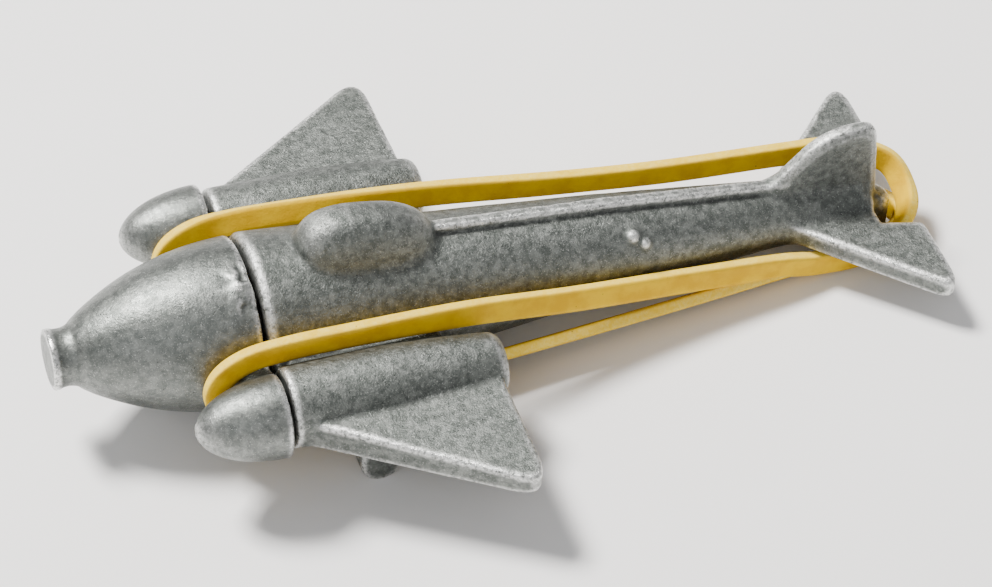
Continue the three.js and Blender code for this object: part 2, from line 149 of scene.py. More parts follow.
def half_plane(u, v, start, end):
    """Distance to the line from start to end, negative on its right."""
    du, dv = end[0] - start[0], end[1] - start[1]
    length = math.hypot(du, dv)
    return ((v - start[1]) * du - (u - start[0]) * dv) / length


def turned_profile(points, x, r):
    """Distance in the (x, r) plane to a profile that starts and ends on the axis."""
    far = np.full(np.broadcast(x, r).shape, 1e9, np.float32)
    inside = np.zeros(far.shape, bool)
    closed = points + [points[0]]
    for (x0, r0), (x1, r1) in zip(closed, closed[1:]):
        if r0 == 0 and r1 == 0:
            continue
        ex, er = x1 - x0, r1 - r0
        t = np.clip(((x - x0) * ex + (r - r0) * er) / (ex * ex + er * er), 0, 1)
        far = np.minimum(far, np.hypot(x - x0 - t * ex, r - r0 - t * er))
        if ex:
            crosses = ((x0 <= x) != (x1 <= x)) & (r < r0 + (x - x0) * er / ex)
            inside ^= crosses
    return np.where(inside, -far, far)


def turned(grid, points, y=0.0, z=0.0):
    """A solid of revolution about a line parallel to the rocket's axis; z may be one height per x."""
    height = np.broadcast_to(z, grid.x.size)
    reach = np.sqrt((grid.y - y) ** 2 + (grid.z - height[:, None, None]) ** 2)
    samples = np.arange(0, float(reach.max()) + grid.step, grid.step / 2, dtype=np.float32)
    table = turned_profile(points, grid.x[:, :, 0], samples[None, :])
    field = np.empty(reach.shape, np.float32)
    for i in range(grid.x.size):
        field[i] = np.interp(reach[i], samples, table[i])
    return field


def rim(x, radius, rounding, rear_side):
    """Profile points of a rounded rim at x, whose rounding lies on the given side of it (+1 or -1)."""
    steps = 5
    angles = [i / steps * math.pi / 2 for i in range(steps + 1)]
    return [(x + rear_side * rounding * (1 - math.sin(a)), radius - rounding * (1 - math.cos(a)))
            for a in angles]


def spline_weights(count, step, wavelength):
    """Weights that turn coarse lattice values into a smooth curve (cubic B-spline)."""
    place = (np.arange(count) * step) / wavelength + 1
    cell = np.floor(place).astype(int)
    t = place - cell
    basis = [(1 - t) ** 3 / 6, (3 * t**3 - 6 * t**2 + 4) / 6]
    basis += [(-3 * t**3 + 3 * t**2 + 3 * t + 1) / 6, t**3 / 6]
    weights = np.zeros((count, int(cell.max()) + 3), np.float32)
    for k, b in enumerate(basis):
        weights[np.arange(count), cell - 1 + k] = b
    return weights


def lumps(grid, wavelength, seed):
    """Smooth random lumps over the whole grid, rarely more than one unit high."""
    wx, wy, wz = (spline_weights(a.size, grid.step, wavelength) for a in (grid.x, grid.y, grid.z))
    lattice = np.random.default_rng(seed).standard_normal((wx.shape[1], wy.shape[1], wz.shape[1]))
    lattice = lattice.astype(np.float32)
    part = np.tensordot(wx, lattice, (1, 0))
    part = np.tensordot(part, wy, (1, 1))
    return np.tensordot(part, wz, (1, 1))


def ball(grid, centre, radius):
    offsets = [g - c for g, c in zip((grid.x, grid.y, grid.z), centre)]
    return np.sqrt(sum(o * o for o in offsets)) - radius


# ---- the body casting -----------------------------------------------------------------------


def fuselage_radius(behind):
    """A taper that is very slightly barrelled."""
    barrel = 0.05
    t = np.clip(behind / TAPER_LENGTH, 0, 1)
    return TAIL_RADIUS + (BODY_RADIUS - TAIL_RADIUS) * (1 - t) * (1 + barrel * t)


def tail_drop(behind):
    """How far the fuselage's centre line lies below the rocket's axis."""
    return TAIL_DROP * np.maximum(0, (behind - BODY_LENGTH + DROP_LENGTH) / DROP_LENGTH)


def fuselage(grid):
    rim_depth, tail_rounding, side_points = 1.2, 1.6, 24
    stations = np.linspace(rim_depth - RIM_X, BODY_LENGTH - tail_rounding, side_points)
    side = [(-b, fuselage_radius(b)) for b in stations]
    tail = [(-BODY_LENGTH, 0), (-BODY_LENGTH, TAIL_RADIUS - 1.4), (-BODY_LENGTH + 0.5, TAIL_RADIUS - 0.5)]
    profile = tail + side[::-1] + rim(RIM_X, BODY_RADIUS, rounding=1.0, rear_side=-1) + [(RIM_X, 0)]
    return turned(grid, profile, z=-tail_drop(-grid.x[:, 0, 0]))


def canopy(grid):
    """A long blister, squarer than an ellipsoid, steep in front and drooping behind."""
    middle, front, rear = -11.2, 6.6, 11.4
    half_width, sill, height = 4.4, 6.9, 7.8
    side_fullness, end_fullness = 2.4, 3.0
    droop, mean_length, least_slope = 0.12, 9.0, 0.05
    along = grid.x - middle
    u = along / np.where(along > 0, front, rear)
    v = grid.y / half_width
    w = (grid.z + np.maximum(-along, 0) * droop - sill) / height
    section = (np.abs(v) ** side_fullness + np.abs(w) ** side_fullness) ** (1 / side_fullness)
    norm = (np.abs(u) ** end_fullness + section ** end_fullness) ** (1 / end_fullness)
    slope = np.sqrt((u / mean_length) ** 2 + (v / half_width) ** 2 + (w / height) ** 2)
    return norm * (norm - 1) / np.maximum(slope, least_slope)


def dorsal_spine(grid):
    """The raised rib along the back, from the canopy to the fin: flat topped and a little lopsided."""
    front, rear, height, half_width = -20.0, -70.0, 1.2, 0.95
    shift, rounding, root = 0.15, 0.3, 2.0
    surface = fuselage_radius(-grid.x) - tail_drop(-grid.x)
    side = np.abs(grid.y + shift) - half_width
    top = grid.z - surface - height
    ends = np.maximum(grid.x - front, rear - grid.x)
    return common(common(side, top, rounding), np.maximum(ends, root - grid.z), rounding)


def top_fin(grid):
    """The upright fin, whose edge all round is a flat face narrower than the plate."""
    x, z = grid.x, grid.z
    leading = half_plane(x, z, (-66.0, 3.5), (-73.2, 10.9))
    crown = half_plane(x, z, (-73.0, 11.7), (-81.5, 11.9))
    trailing = half_plane(x, z, (-81.2, 9.0), (-82.3, -1.0))
    front_corner, rear_corner, bevel_width, edge_rounding = 2.6, 2.0, 0.9, 0.4
    outline = common(common(-leading, -crown, front_corner), -trailing, rear_corner)
    outline = np.maximum(outline, -z)
    bevel = np.clip(bevel_width + outline, 0, 1) * (FIN_HALF - FIN_EDGE_HALF)
    return common(outline, np.abs(grid.y) - FIN_HALF + bevel, edge_rounding)


def tailplane(grid):
    """One side's tailplane; the grid's other half is its mirror image."""
    x, y = grid.x, grid.y
    tip_rounding, notch_rounding, edge_rounding = 3.2, 0.9, 0.5
    notch_half, notch_flare = 6.1, 0.26
    leading = -half_plane(x, y, (TAIL_REAR_X + TAIL_CORNER, 0.0), (TAIL_REAR_X, TAIL_CORNER))
    plan = common(leading, TAIL_REAR_X - x, tip_rounding)
    notch = np.maximum(x - NOTCH_FRONT_X, y - notch_half - (NOTCH_FRONT_X - x) * notch_flare)
    plan = common(plan, -notch, notch_rounding)
    return common(plan, np.maximum(grid.z - TAIL_TOP, TAIL_BOTTOM - grid.z), edge_rounding)


def tail_hook(grid):
    """The post behind the tail, flared at its foot."""
    flare_height, flare_slope, flare_width, rounding = 1.3, 0.5, 0.4, 1.2
    post = np.hypot(grid.x - HOOK_X, grid.y) - HOOK_RADIUS
    flare = np.clip((-HOOK_DROP + flare_height - grid.z) * flare_slope, 0, flare_width)
    return common(post - flare, np.maximum(grid.z - HOOK_TOP, floor_depth(grid)), rounding)


def floor_depth(grid):
    """How far a point lies below the surface that the toy stands on."""
    slope = (FOOT_DROP - HOOK_DROP) / (FOOT_X - HOOK_X)
    return (-FOOT_DROP + slope * (FOOT_X - grid.x) - grid.z) / math.hypot(1, slope)


def engine_pod(grid):
    """Straight in front, tapered behind, with a rounded rear end."""
    straight_to_x = -11.4
    rear_end = [(-POD_LENGTH, 0), (-POD_LENGTH, POD_RADIUS - 2.3), (-POD_LENGTH + 0.3, POD_RADIUS - 1.6)]
    taper = [(-POD_LENGTH + 1.0, POD_RADIUS - 1.15), (-24, POD_RADIUS - 1.0), (-19, POD_RADIUS - 0.5)]
    front = [(straight_to_x, POD_RADIUS)] + rim(RIM_X, POD_RADIUS, rounding=0.5, rear_side=-1) + [(RIM_X, 0)]
    return turned(grid, rear_end + taper + front, POD_SPAN, POD_LIFT)


def pod_bridge(grid):
    """The slab between body and pod, which ends inside both."""
    inner_y, short_of_pod_axis, rounding = 8.0, 3, 0.8
    ends = np.maximum(grid.x - BRIDGE_FRONT_X, BRIDGE_REAR_X - grid.x)
    box = np.maximum(ends, np.maximum(inner_y - grid.y, grid.y - POD_SPAN + short_of_pod_axis))
    return common(box, np.abs(grid.z) - BRIDGE_HALF, rounding)


def wing(grid):
    """A thick delta with blunt square edges, a little thinner towards its tip."""
    tip_rounding, edge_rounding = 4.0, 0.5
    root_y = POD_SPAN - 2
    x, y, z = grid.x, grid.y, grid.z
    leading = -half_plane(x, y, (WING_FRONT_X, WING_ROOT), (WING_REAR_X, WING_CORNER))
    plan = common(leading, WING_REAR_X - x, tip_rounding)
    plan = common(plan, x - WING_FRONT_X, edge_rounding)
    plan = np.maximum(plan, root_y - y)
    top = z - (WING_HALF - (y - POD_SPAN) * WING_TAPER)
    bottom = -WING_HALF + (y - POD_SPAN) * WING_TAPER - z
    return common(plan, np.maximum(top, bottom), edge_rounding)


def landing_foot(grid):
    """A round-ended lug below the pod."""
    top, rounding = -3, 0.7
    centre = FOOT_RADIUS - FOOT_DROP
    drop = np.clip(grid.z, centre, top)
    lug = np.hypot(grid.x - FOOT_X, grid.z - drop) - FOOT_RADIUS
    return common(lug, np.abs(grid.y - FOOT_SPAN) - FOOT_HALF, rounding)


def mirror(field):
    """The whole field from its port half, whose first column is the middle plane."""
    return np.concatenate([field[:, :0:-1], field], axis=1)


def body_field(grid):
    """The port half of the body casting, hollowed for the cap chamber and the guide peg."""
    field = fuselage(grid)
    field = union(field, canopy(grid), blend=0.8)
    field = union(field, dorsal_spine(grid), blend=0.25)
    field = union(field, tailplane(grid), blend=1.4)
    field = union(field, top_fin(grid), blend=1.0)
    field = union(field, tail_hook(grid), blend=1.6)
    outboard = union(engine_pod(grid), wing(grid), blend=0.5)
    outboard = union(outboard, landing_foot(grid), blend=0.9)
    outboard = union(outboard, pod_bridge(grid), blend=1.2)
    field = union(field, outboard, blend=1.0)
    mouth = RIM_X + 1
    chamber = [(-CHAMBER_DEPTH, 0), (-CHAMBER_DEPTH, CHAMBER_RADIUS), (mouth, CHAMBER_RADIUS), (mouth, 0)]
    bore = [(-BORE_DEPTH, 0), (-BORE_DEPTH, BORE_RADIUS), (mouth, BORE_RADIUS), (mouth, 0)]
    field = common(field, -turned(grid, chamber), blend=0.4)
    field = common(field, -turned(grid, bore, POD_NOSE_SPAN, POD_LIFT), blend=0.3)
    return common(field, floor_depth(grid), blend=0.2)


# ---- the nose casting -----------------------------------------------------------------------


def nose_cone(grid):
    """A blunt ogive that ends in a waisted knob."""
    knob_step, fullness, rim_depth, side_points = 1.4, 2.2, 0.6, 18
    side = []
    for ahead in np.linspace(rim_depth, NOSE_LENGTH, side_points):
        swell = (NOSE_RADIUS - KNOB_RADIUS - knob_step) * (1 - (ahead / NOSE_LENGTH) ** fullness)
        side.append((NOSE_REAR_X + ahead, KNOB_RADIUS + knob_step + swell))
    knob = [(22.4, 4.35), (23.1, 3.75), (24.0, 3.55), (24.9, 3.6), (25.3, 3.78), (25.85, 3.8), (26.05, 3.6)]
    rear = [(NOSE_REAR_X, 0)] + rim(NOSE_REAR_X, NOSE_RADIUS, rounding=0.4, rear_side=1)[::-1]
    return turned(grid, rear + side + knob + [(knob[-1][0], 0)])


def pod_nose(grid):
    """A blunt round cone, a little fuller than an ellipse."""
    fullness, bluntness, side_points = 2.2, 0.53, 16
    side = []
    for t in np.sin(np.linspace(0.1, math.pi / 2, side_points))[:-1]:
        radius = POD_NOSE_RADIUS * (1 - t**fullness) ** bluntness
        side.append((NOSE_REAR_X + t * POD_NOSE_LENGTH, radius))
    rear = [(NOSE_REAR_X, 0)] + rim(NOSE_REAR_X, POD_NOSE_RADIUS, rounding=0.4, rear_side=1)[::-1]
    profile = rear + side + [(NOSE_REAR_X + POD_NOSE_LENGTH, 0)]
    return turned(grid, profile, POD_NOSE_SPAN, POD_LIFT)


def nose_web(grid):
    """The web between nose and pod nose, round in front, which the band passes over."""
    inner_y, outer_y = 8.0, 15.0
    along = np.clip(grid.x, 0, WEB_FRONT_X - WEB_HALF)
    edge = np.hypot(grid.x - along, grid.z - WEB_MIDDLE) - WEB_HALF
    sides = np.maximum(inner_y - grid.y, grid.y - outer_y)
    return np.maximum(np.maximum(edge, sides), NOSE_REAR_X - grid.x)


def nose_field(grid):
    """The port half of the nose casting."""
    outboard = union(pod_nose(grid), nose_web(grid), blend=1.0)
    return union(nose_cone(grid), outboard, blend=1.0)


# ---- fields to meshes -----------------------------------------------------------------------

CORNERS = [(i, j, k) for i in (0, 1) for j in (0, 1) for k in (0, 1)]
EDGES = [(a, b) for a in range(8) for b in range(a + 1, 8)
         if sum(abs(p - q) for p, q in zip(CORNERS[a], CORNERS[b])) == 1]


def surface_net(field, low, step):
    """Vertices and quads where the field passes through zero, one vertex to a grid cell."""
    inside = field < 0
    count = 0
    for corner in CORNERS:
        part = tuple(slice(c, inside.shape[n] - 1 + c) for n, c in enumerate(corner))
        count = count + inside[part].astype(np.uint8)
    cells = np.argwhere((count > 0) & (count < 8))
    number = np.full(count.shape, -1, np.int32)
    number[tuple(cells.T)] = np.arange(len(cells))
    values = np.stack([field[tuple((cells + corner).T)] for corner in CORNERS], 1)
    place, hits = np.zeros((len(cells), 3)), np.zeros(len(cells))
    for a, b in EDGES:
        cut = (values[:, a] < 0) != (values[:, b] < 0)
        t = values[cut, a] / (values[cut, a] - values[cut, b])
        start, end = np.array(CORNERS[a]), np.array(CORNERS[b])
        place[cut] += start + t[:, None] * (end - start)
        hits[cut] += 1
    vertices = (cells + place / hits[:, None]) * step + low
    quads = []
    for n in range(3):
        one, two = (n + 1) % 3, (n + 2) % 3
        ahead = np.take(inside, range(1, inside.shape[n]), n)
        behind = np.take(inside, range(inside.shape[n] - 1), n)
        starts = np.argwhere(ahead != behind)
        starts = starts[(starts[:, one] > 0) & (starts[:, two] > 0)]
        steps = []
        for d1, d2 in ((0, 0), (1, 0), (1, 1), (0, 1)):
            cell = starts.copy()
            cell[:, one] -= d1
            cell[:, two] -= d2
            steps.append(number[tuple(cell.T)])
        quad = np.stack(steps, 1)
        leaving = inside[tuple(starts.T)]
        quads.append(np.where(leaving[:, None], quad, quad[:, ::-1]))
    return vertices, np.concatenate(quads)


def neighbour_mean(values, pairs, degree):
    """The mean of each vertex's neighbours, for one or more columns of values."""
    total = np.zeros_like(values)
    for column in range(values.shape[1]):
        total[:, column] = (np.bincount(pairs[:, 0], values[pairs[:, 1], column], len(values))
                            + np.bincount(pairs[:, 1], values[pairs[:, 0], column], len(values)))
    return total / degree[:, None]


def edge_pairs(quads):
    pairs = np.concatenate([quads[:, [i, (i + 1) % 4]] for i in range(4)])
    return np.unique(np.sort(pairs, 1), axis=0)


def vertex_normals(vertices, quads):
    across = vertices[quads[:, 2]] - vertices[quads[:, 0]]
    down = vertices[quads[:, 3]] - vertices[quads[:, 1]]
    face = np.cross(across, down)
    normals = np.zeros_like(vertices)
    for corner in range(4):
        for column in range(3):
            normals[:, column] += np.bincount(quads[:, corner], face[:, column], len(vertices))
    return normals / np.maximum(np.linalg.norm(normals, axis=1), 1e-9)[:, None]


def make_mesh(name, vertices, quads, attributes):
    """A mesh object in the row frame, from rocket millimetres, with named values on its vertices."""
    mesh = bpy.data.meshes.new(name)
    matrix = np.array(to_row)
    placed = (vertices * MM) @ matrix[:3, :3].T + matrix[:3, 3]
    mesh.vertices.add(len(placed))
    mesh.vertices.foreach_set("co", placed.astype(np.float32).ravel())
    mesh.loops.add(quads.size)
    mesh.loops.foreach_set("vertex_index", quads.astype(np.int32).ravel())
    mesh.polygons.add(len(quads))
    mesh.polygons.foreach_set("loop_start", np.arange(0, quads.size, 4, dtype=np.int32))
    mesh.polygons.foreach_set("use_smooth", np.ones(len(quads), bool))
    for key, values in attributes.items():
        mesh.attributes.new(key, "FLOAT", "POINT").data.foreach_set("value", values.astype(np.float32))
    mesh.update(calc_edges=True)
    mesh.validate()
    ob = bpy.data.objects.new(name, mesh)
    bpy.context.scene.collection.objects.link(ob)
    return ob


def cast_piece(name, field, low, step):
    """The mesh of a field, with how much edge wear and painted highlight (outward edges) and how much painted
    shade and grime (inward corners) each vertex gets.
    """
    vertices, quads = surface_net(field, low, step)
    pairs = edge_pairs(quads)
    degree = np.bincount(pairs.ravel(), minlength=len(vertices)).astype(float)
    smoothing, blur_passes, blur = 0.5, 3, 0.6
    vertices += smoothing * (neighbour_mean(vertices, pairs, degree) - vertices)
    normals = vertex_normals(vertices, quads)
    bend = np.sum((neighbour_mean(vertices, pairs, degree) - vertices) * normals, 1)
    bend = (bend / step**2)[:, None]
    for _ in range(blur_passes):
        bend = (1 - blur) * bend + blur * neighbour_mean(bend, pairs, degree)
    bend = bend[:, 0]
    wear_and_highlight_from, wear_and_highlight_range, crease_shade_and_grime_from, crease_shade_and_grime_range = 0.055, 0.16, 0.02, 0.25
    # outward edges: edge wear and painted highlight, made bright in the colour
    wear_and_highlight = np.clip((-bend - wear_and_highlight_from) / wear_and_highlight_range, 0, 1)
    # inward corners: painted shade and grime, made dark in the colour
    crease_shade_and_grime = np.clip((bend - crease_shade_and_grime_from) / crease_shade_and_grime_range, 0, 1)
    return make_mesh(name, vertices, quads, {"wear_and_highlight": wear_and_highlight, "crease_shade_and_grime": crease_shade_and_grime})


def body_casting():
    """The winged body, with the two small casting blisters on its port side."""
    half = Grid((-88.0, 0.0, -12.0), (2.2, 37.8, 16.0), GRID_STEP)
    whole = half.both_sides()
    field = mirror(body_field(half))
    blisters = (((-47.2, 4.0, 4.6), 0.9), ((-48.6, 4.65, 3.7), 0.75))
    for centre, radius in blisters:
        field = union(field, ball(whole, centre, radius), blend=0.5)
    coarse_height, fine_height = 0.03, 0.02
    field = field + coarse_height * lumps(whole, wavelength=3.2, seed=11)
    field = field + fine_height * lumps(whole, wavelength=1.1, seed=12)
    return cast_piece("body_casting", field, whole.low, GRID_STEP)


def nose_casting():
    """The nose and its two pod noses, with the ragged casting flaw just ahead of the rear rim."""
    half = Grid((0.8, 0.0, -11.4), (27.0, 23.2, 11.4), NOSE_STEP)
    whole = half.both_sides()
    field = mirror(nose_field(half))
    flaw_place, flaw_reach = (3.3, 4.2, 9.6), (1.5, 2.9, 2.0)
    along, across, up = [((g - c) / reach) ** 2
                         for g, c, reach in zip((whole.x, whole.y, whole.z), flaw_place, flaw_reach)]
    flaw = np.exp(-along - across - up)
    coarse_height, flaw_depth, raggedness = 0.03, 0.30, 6
    field = field + coarse_height * lumps(whole, wavelength=3.0, seed=21)
    ragged = np.tanh(raggedness * lumps(whole, wavelength=0.9, seed=22))
    field = field + flaw_depth * flaw * ragged
    return cast_piece("nose_casting", field, whole.low, NOSE_STEP)


# ---- the rubber band ------------------------------------------------------------------------

# Each point is x, y, z and how far the section is turned about the strand there, in degrees.
BAND_ROUTE = [
    # round the tail, above the starboard tailplane and below the port one
    (-86.5, -0.6, -0.7, 35), (-85.9, 2.8, -2.0, 30), (-83.2, 5.0, -4.0, 15), (-79.0, 6.0, -4.9, 0),
    # port upper strand
    (-72, 6.4, -4.5, 0), (-67, 6.6, -3.4, 0), (-55, 7.3, -1.8, -10), (-38, 8.8, 0.9, -15),
    (-24, 10.1, 3.7, -10), (-9, 11.1, 5.3, 0),
    # over the port web and back under the belly
    (0, 11.4, 5.6, 0), (4.6, 11.45, 5.0, 0), (7.4, 11.5, 3.2, 0), (8.4, 11.5, 0.5, 0),
    (7.4, 11.5, -2.6, 0), (4.2, 11.5, -4.5, 0), (-2, 11.3, -5.6, -20), (-28, 9.6, -5.5, -45),
    (-54, 7.4, -5.4, -45), (-72, 5.4, -5.5, -30), (-79.5, 4.2, -5.2, 0),
    # second turn round the hook, under the first
    (-84.6, 2.9, -5.1, 0), (-86.1, 0, -5.0, 0), (-84.6, -2.9, -5.1, 0), (-79.5, -4.4, -5.2, 0),
    (-72, -5.4, -5.3, 0), (-54, -7.4, -5.4, 0), (-28, -9.6, -5.5, 0), (-2, -11.3, -5.4, 0),
    # over the starboard web
    (4.2, -11.5, -4.5, 0), (7.4, -11.5, -2.6, 0), (8.4, -11.5, 0.5, 0), (7.4, -11.5, 3.2, 0),
    (4.6, -11.5, 4.9, 10), (0, -11.4, 5.4, 30), (-9, -11.1, 5.3, 35),
    # starboard upper strand
    (-24, -10.2, 4.9, 10), (-42, -8.5, 3.8, 0), (-56, -7.3, 3.2, 0), (-72, -6.6, 2.7, 0),
    (-78.0, -6.0, 2.6, 10), (-82.6, -4.9, 2.0, 20), (-85.6, -3.3, 0.8, 30),
]


def closed_curve(points, per_span):
    """Centripetal Catmull-Rom samples of a closed route; columns after the third only follow along."""
    points = np.array(points, float)
    samples = []
    for i in range(len(points)):
        a, b, c, d = (points[(i + k) % len(points)] for k in (-1, 0, 1, 2))
        ta = 0.0
        tb = ta + np.linalg.norm(b[:3] - a[:3]) ** 0.5
        tc = tb + np.linalg.norm(c[:3] - b[:3]) ** 0.5
        td = tc + np.linalg.norm(d[:3] - c[:3]) ** 0.5
        for t in np.linspace(tb, tc, per_span, endpoint=False):
            ab = ((tb - t) * a + (t - ta) * b) / (tb - ta)
            bc = ((tc - t) * b + (t - tb) * c) / (tc - tb)
            cd = ((td - t) * c + (t - tc) * d) / (td - tc)
            abc = ((tc - t) * ab + (t - ta) * bc) / (tc - ta)
            bcd = ((td - t) * bc + (t - tb) * cd) / (td - tb)
            samples.append(((tc - t) * abc + (t - tb) * bcd) / (tc - tb))
    return np.array(samples)


def even_steps(samples, spacing):
    """The same closed line, sampled at an even spacing."""
    closed = np.vstack([samples, samples[:1]])
    lengths = np.concatenate([[0], np.cumsum(np.linalg.norm(np.diff(closed[:, :3], axis=0), axis=1))])
    wanted = np.linspace(0, lengths[-1], round(lengths[-1] / spacing), endpoint=False)
    return np.stack([np.interp(wanted, lengths, column) for column in closed.T], 1)


def band_frames(centres):
    """Tangents, and the directions that face outward from the loop, square to them."""
    tangents = np.roll(centres, -1, 0) - np.roll(centres, 1, 0)
    tangents /= np.linalg.norm(tangents, axis=1)[:, None]
    ring_start = -78
    outward = np.zeros_like(centres)
    outward[:, 0] = np.minimum(0, centres[:, 0] - ring_start)
    outward[:, 1] = centres[:, 1]
    sides = outward - tangents * np.sum(outward * tangents, 1)[:, None]
    return tangents, sides / np.linalg.norm(sides, axis=1)[:, None]


def rounded_section():
    """Points round a soft-cornered rectangle of half size one."""
    count, fullness = 28, 9.0
    angles = np.arange(count) / count * 2 * math.pi + math.pi / count
    c, s = np.cos(angles), np.sin(angles)
    norm = (np.abs(c) ** fullness + np.abs(s) ** fullness) ** (1 / fullness)
    return np.stack([c / norm, s / norm], 1)


def rubber_band():
    """The flat band: its section turns as the route says, and wobbles a little along the strand."""
    route = even_steps(closed_curve(BAND_ROUTE, per_span=12), BAND_SPACING)
    centres = route[:, :3]
    tangents, sides = band_frames(centres)
    count = len(centres)
    station = np.arange(count) / count
    section = rounded_section()
    ring = len(section)
    rng = np.random.default_rng(31)
    wave_count, wobble_angle = 10, 0.12
    chalk_and_sheen_edge, chalk_and_sheen_blend = 0.9, 0.1
    waves = [(rng.integers(2, 15), rng.uniform(0, 2 * math.pi)) for _ in range(wave_count)]
    wobble = sum(np.sin(2 * math.pi * n * station + phase) for n, phase in waves) / wave_count
    turns = -np.radians(route[:, 3]) + wobble_angle * wobble
    cos, sin = np.cos(turns)[:, None], np.sin(turns)[:, None]
    ups = np.cross(tangents, sides)
    across, tall = sides * cos + ups * sin, ups * cos - sides * sin
    vertices = np.zeros((count, ring, 3))
    chalk_and_sheen = np.zeros((count, ring))
    for k, (w, h) in enumerate(section):
        vertices[:, k] = centres + across * w * BAND_WIDTH / 2 + tall * h * BAND_HEIGHT / 2
        # painted sheen with chalky bloom: the narrow faces are marked to be pale
        chalk_and_sheen[:, k] = max(abs(h) - chalk_and_sheen_edge, 0) / chalk_and_sheen_blend
    one, nxt = np.arange(count)[:, None], (np.arange(count)[:, None] + 1) % count
    k, k2 = np.arange(ring)[None, :], (np.arange(ring)[None, :] + 1) % ring
    quads = np.stack([one * ring + k, nxt * ring + k, nxt * ring + k2, one * ring + k2], -1).reshape(-1, 4)
    vertices = vertices.reshape(-1, 3)
    normals = vertex_normals(vertices, quads)
    if np.mean(np.sum(normals * (vertices - np.repeat(centres, ring, 0)), 1)) < 0:
        quads = quads[:, ::-1]
    return make_mesh("rubber_band_loop", vertices, quads, {"chalk_and_sheen": chalk_and_sheen.ravel()})


# ---- materials ------------------------------------------------------------------------------


class Nodes:
    """Short names for building one material's node tree."""

    def __init__(self, name):
        self.material = bpy.data.materials.new(name)
        self.material.use_nodes = True
        self.tree = self.material.node_tree
        self.shader = self.tree.nodes["Principled BSDF"]
        place = self.add("ShaderNodeTexCoord")
        scale = self.add("ShaderNodeMapping")
        scale.inputs["Scale"].default_value = (1 / MM, 1 / MM, 1 / MM)
        self.link(place.outputs["Object"], scale.inputs["Vector"])
        self.place = scale.outputs["Vector"]

    def add(self, kind):
        return self.tree.nodes.new(kind)

    def link(self, a, b):
        self.tree.links.new(a, b)

    def noise(self, scale, detail=4.0, rough=0.55, warp=0.0):
        node = self.add("ShaderNodeTexNoise")
        node.inputs["Scale"].default_value = scale
        node.inputs["Detail"].default_value = detail
        node.inputs["Roughness"].default_value = rough
        node.inputs["Distortion"].default_value = warp
        self.link(self.place, node.inputs["Vector"])
        return node.outputs["Fac"]

    def cells(self, scale):
        node = self.add("ShaderNodeTexVoronoi")
        node.inputs["Scale"].default_value = scale
        self.link(self.place, node.inputs["Vector"])
        return node.outputs["Distance"]

    def attribute(self, name):
        node = self.add("ShaderNodeAttribute")
        node.attribute_name = name
        return node.outputs["Fac"]

    def ramp(self, value, low, high, start=0.0, end=1.0):
        """value between low and high, spread over start to end and held there."""
        node = self.add("ShaderNodeMapRange")
        node.interpolation_type = "SMOOTHSTEP"
        for key, v in (("From Min", low), ("From Max", high), ("To Min", start), ("To Max", end)):
            node.inputs[key].default_value = v
        self.link(value, node.inputs["Value"])
        return node.outputs["Result"]

    def maths(self, operation, a, b):
        node = self.add("ShaderNodeMath")
        node.operation = operation
        for socket, value in zip(node.inputs, (a, b)):
            if isinstance(value, (int, float)):
                socket.default_value = value
            else:
                self.link(value, socket)
        return node.outputs["Value"]

    def mix(self, share, a, b):
        """Colour a to colour b by share; each may be a tuple or a socket."""
        node = self.add("ShaderNodeMix")
        node.data_type = "RGBA"
        self.link(share, node.inputs["Factor"])
        colour_a, colour_b, colour_out = node.inputs[6], node.inputs[7], node.outputs[2]
        for socket, value in ((colour_a, a), (colour_b, b)):
            if isinstance(value, tuple):
                socket.default_value = (*value, 1)
            else:
                self.link(value, socket)
        return colour_out

    def bump(self, height, distance, strength=1.0, below=None):
        node = self.add("ShaderNodeBump")
        node.inputs["Distance"].default_value = distance
        node.inputs["Strength"].default_value = strength
        self.link(height, node.inputs["Height"])
        if below is not None:
            self.link(below, node.inputs["Normal"])
        return node.outputs["Normal"]

    def set(self, key, value):
        if isinstance(value, (int, float)):
            self.shader.inputs[key].default_value = value
        else:
            self.link(value, self.shader.inputs[key])


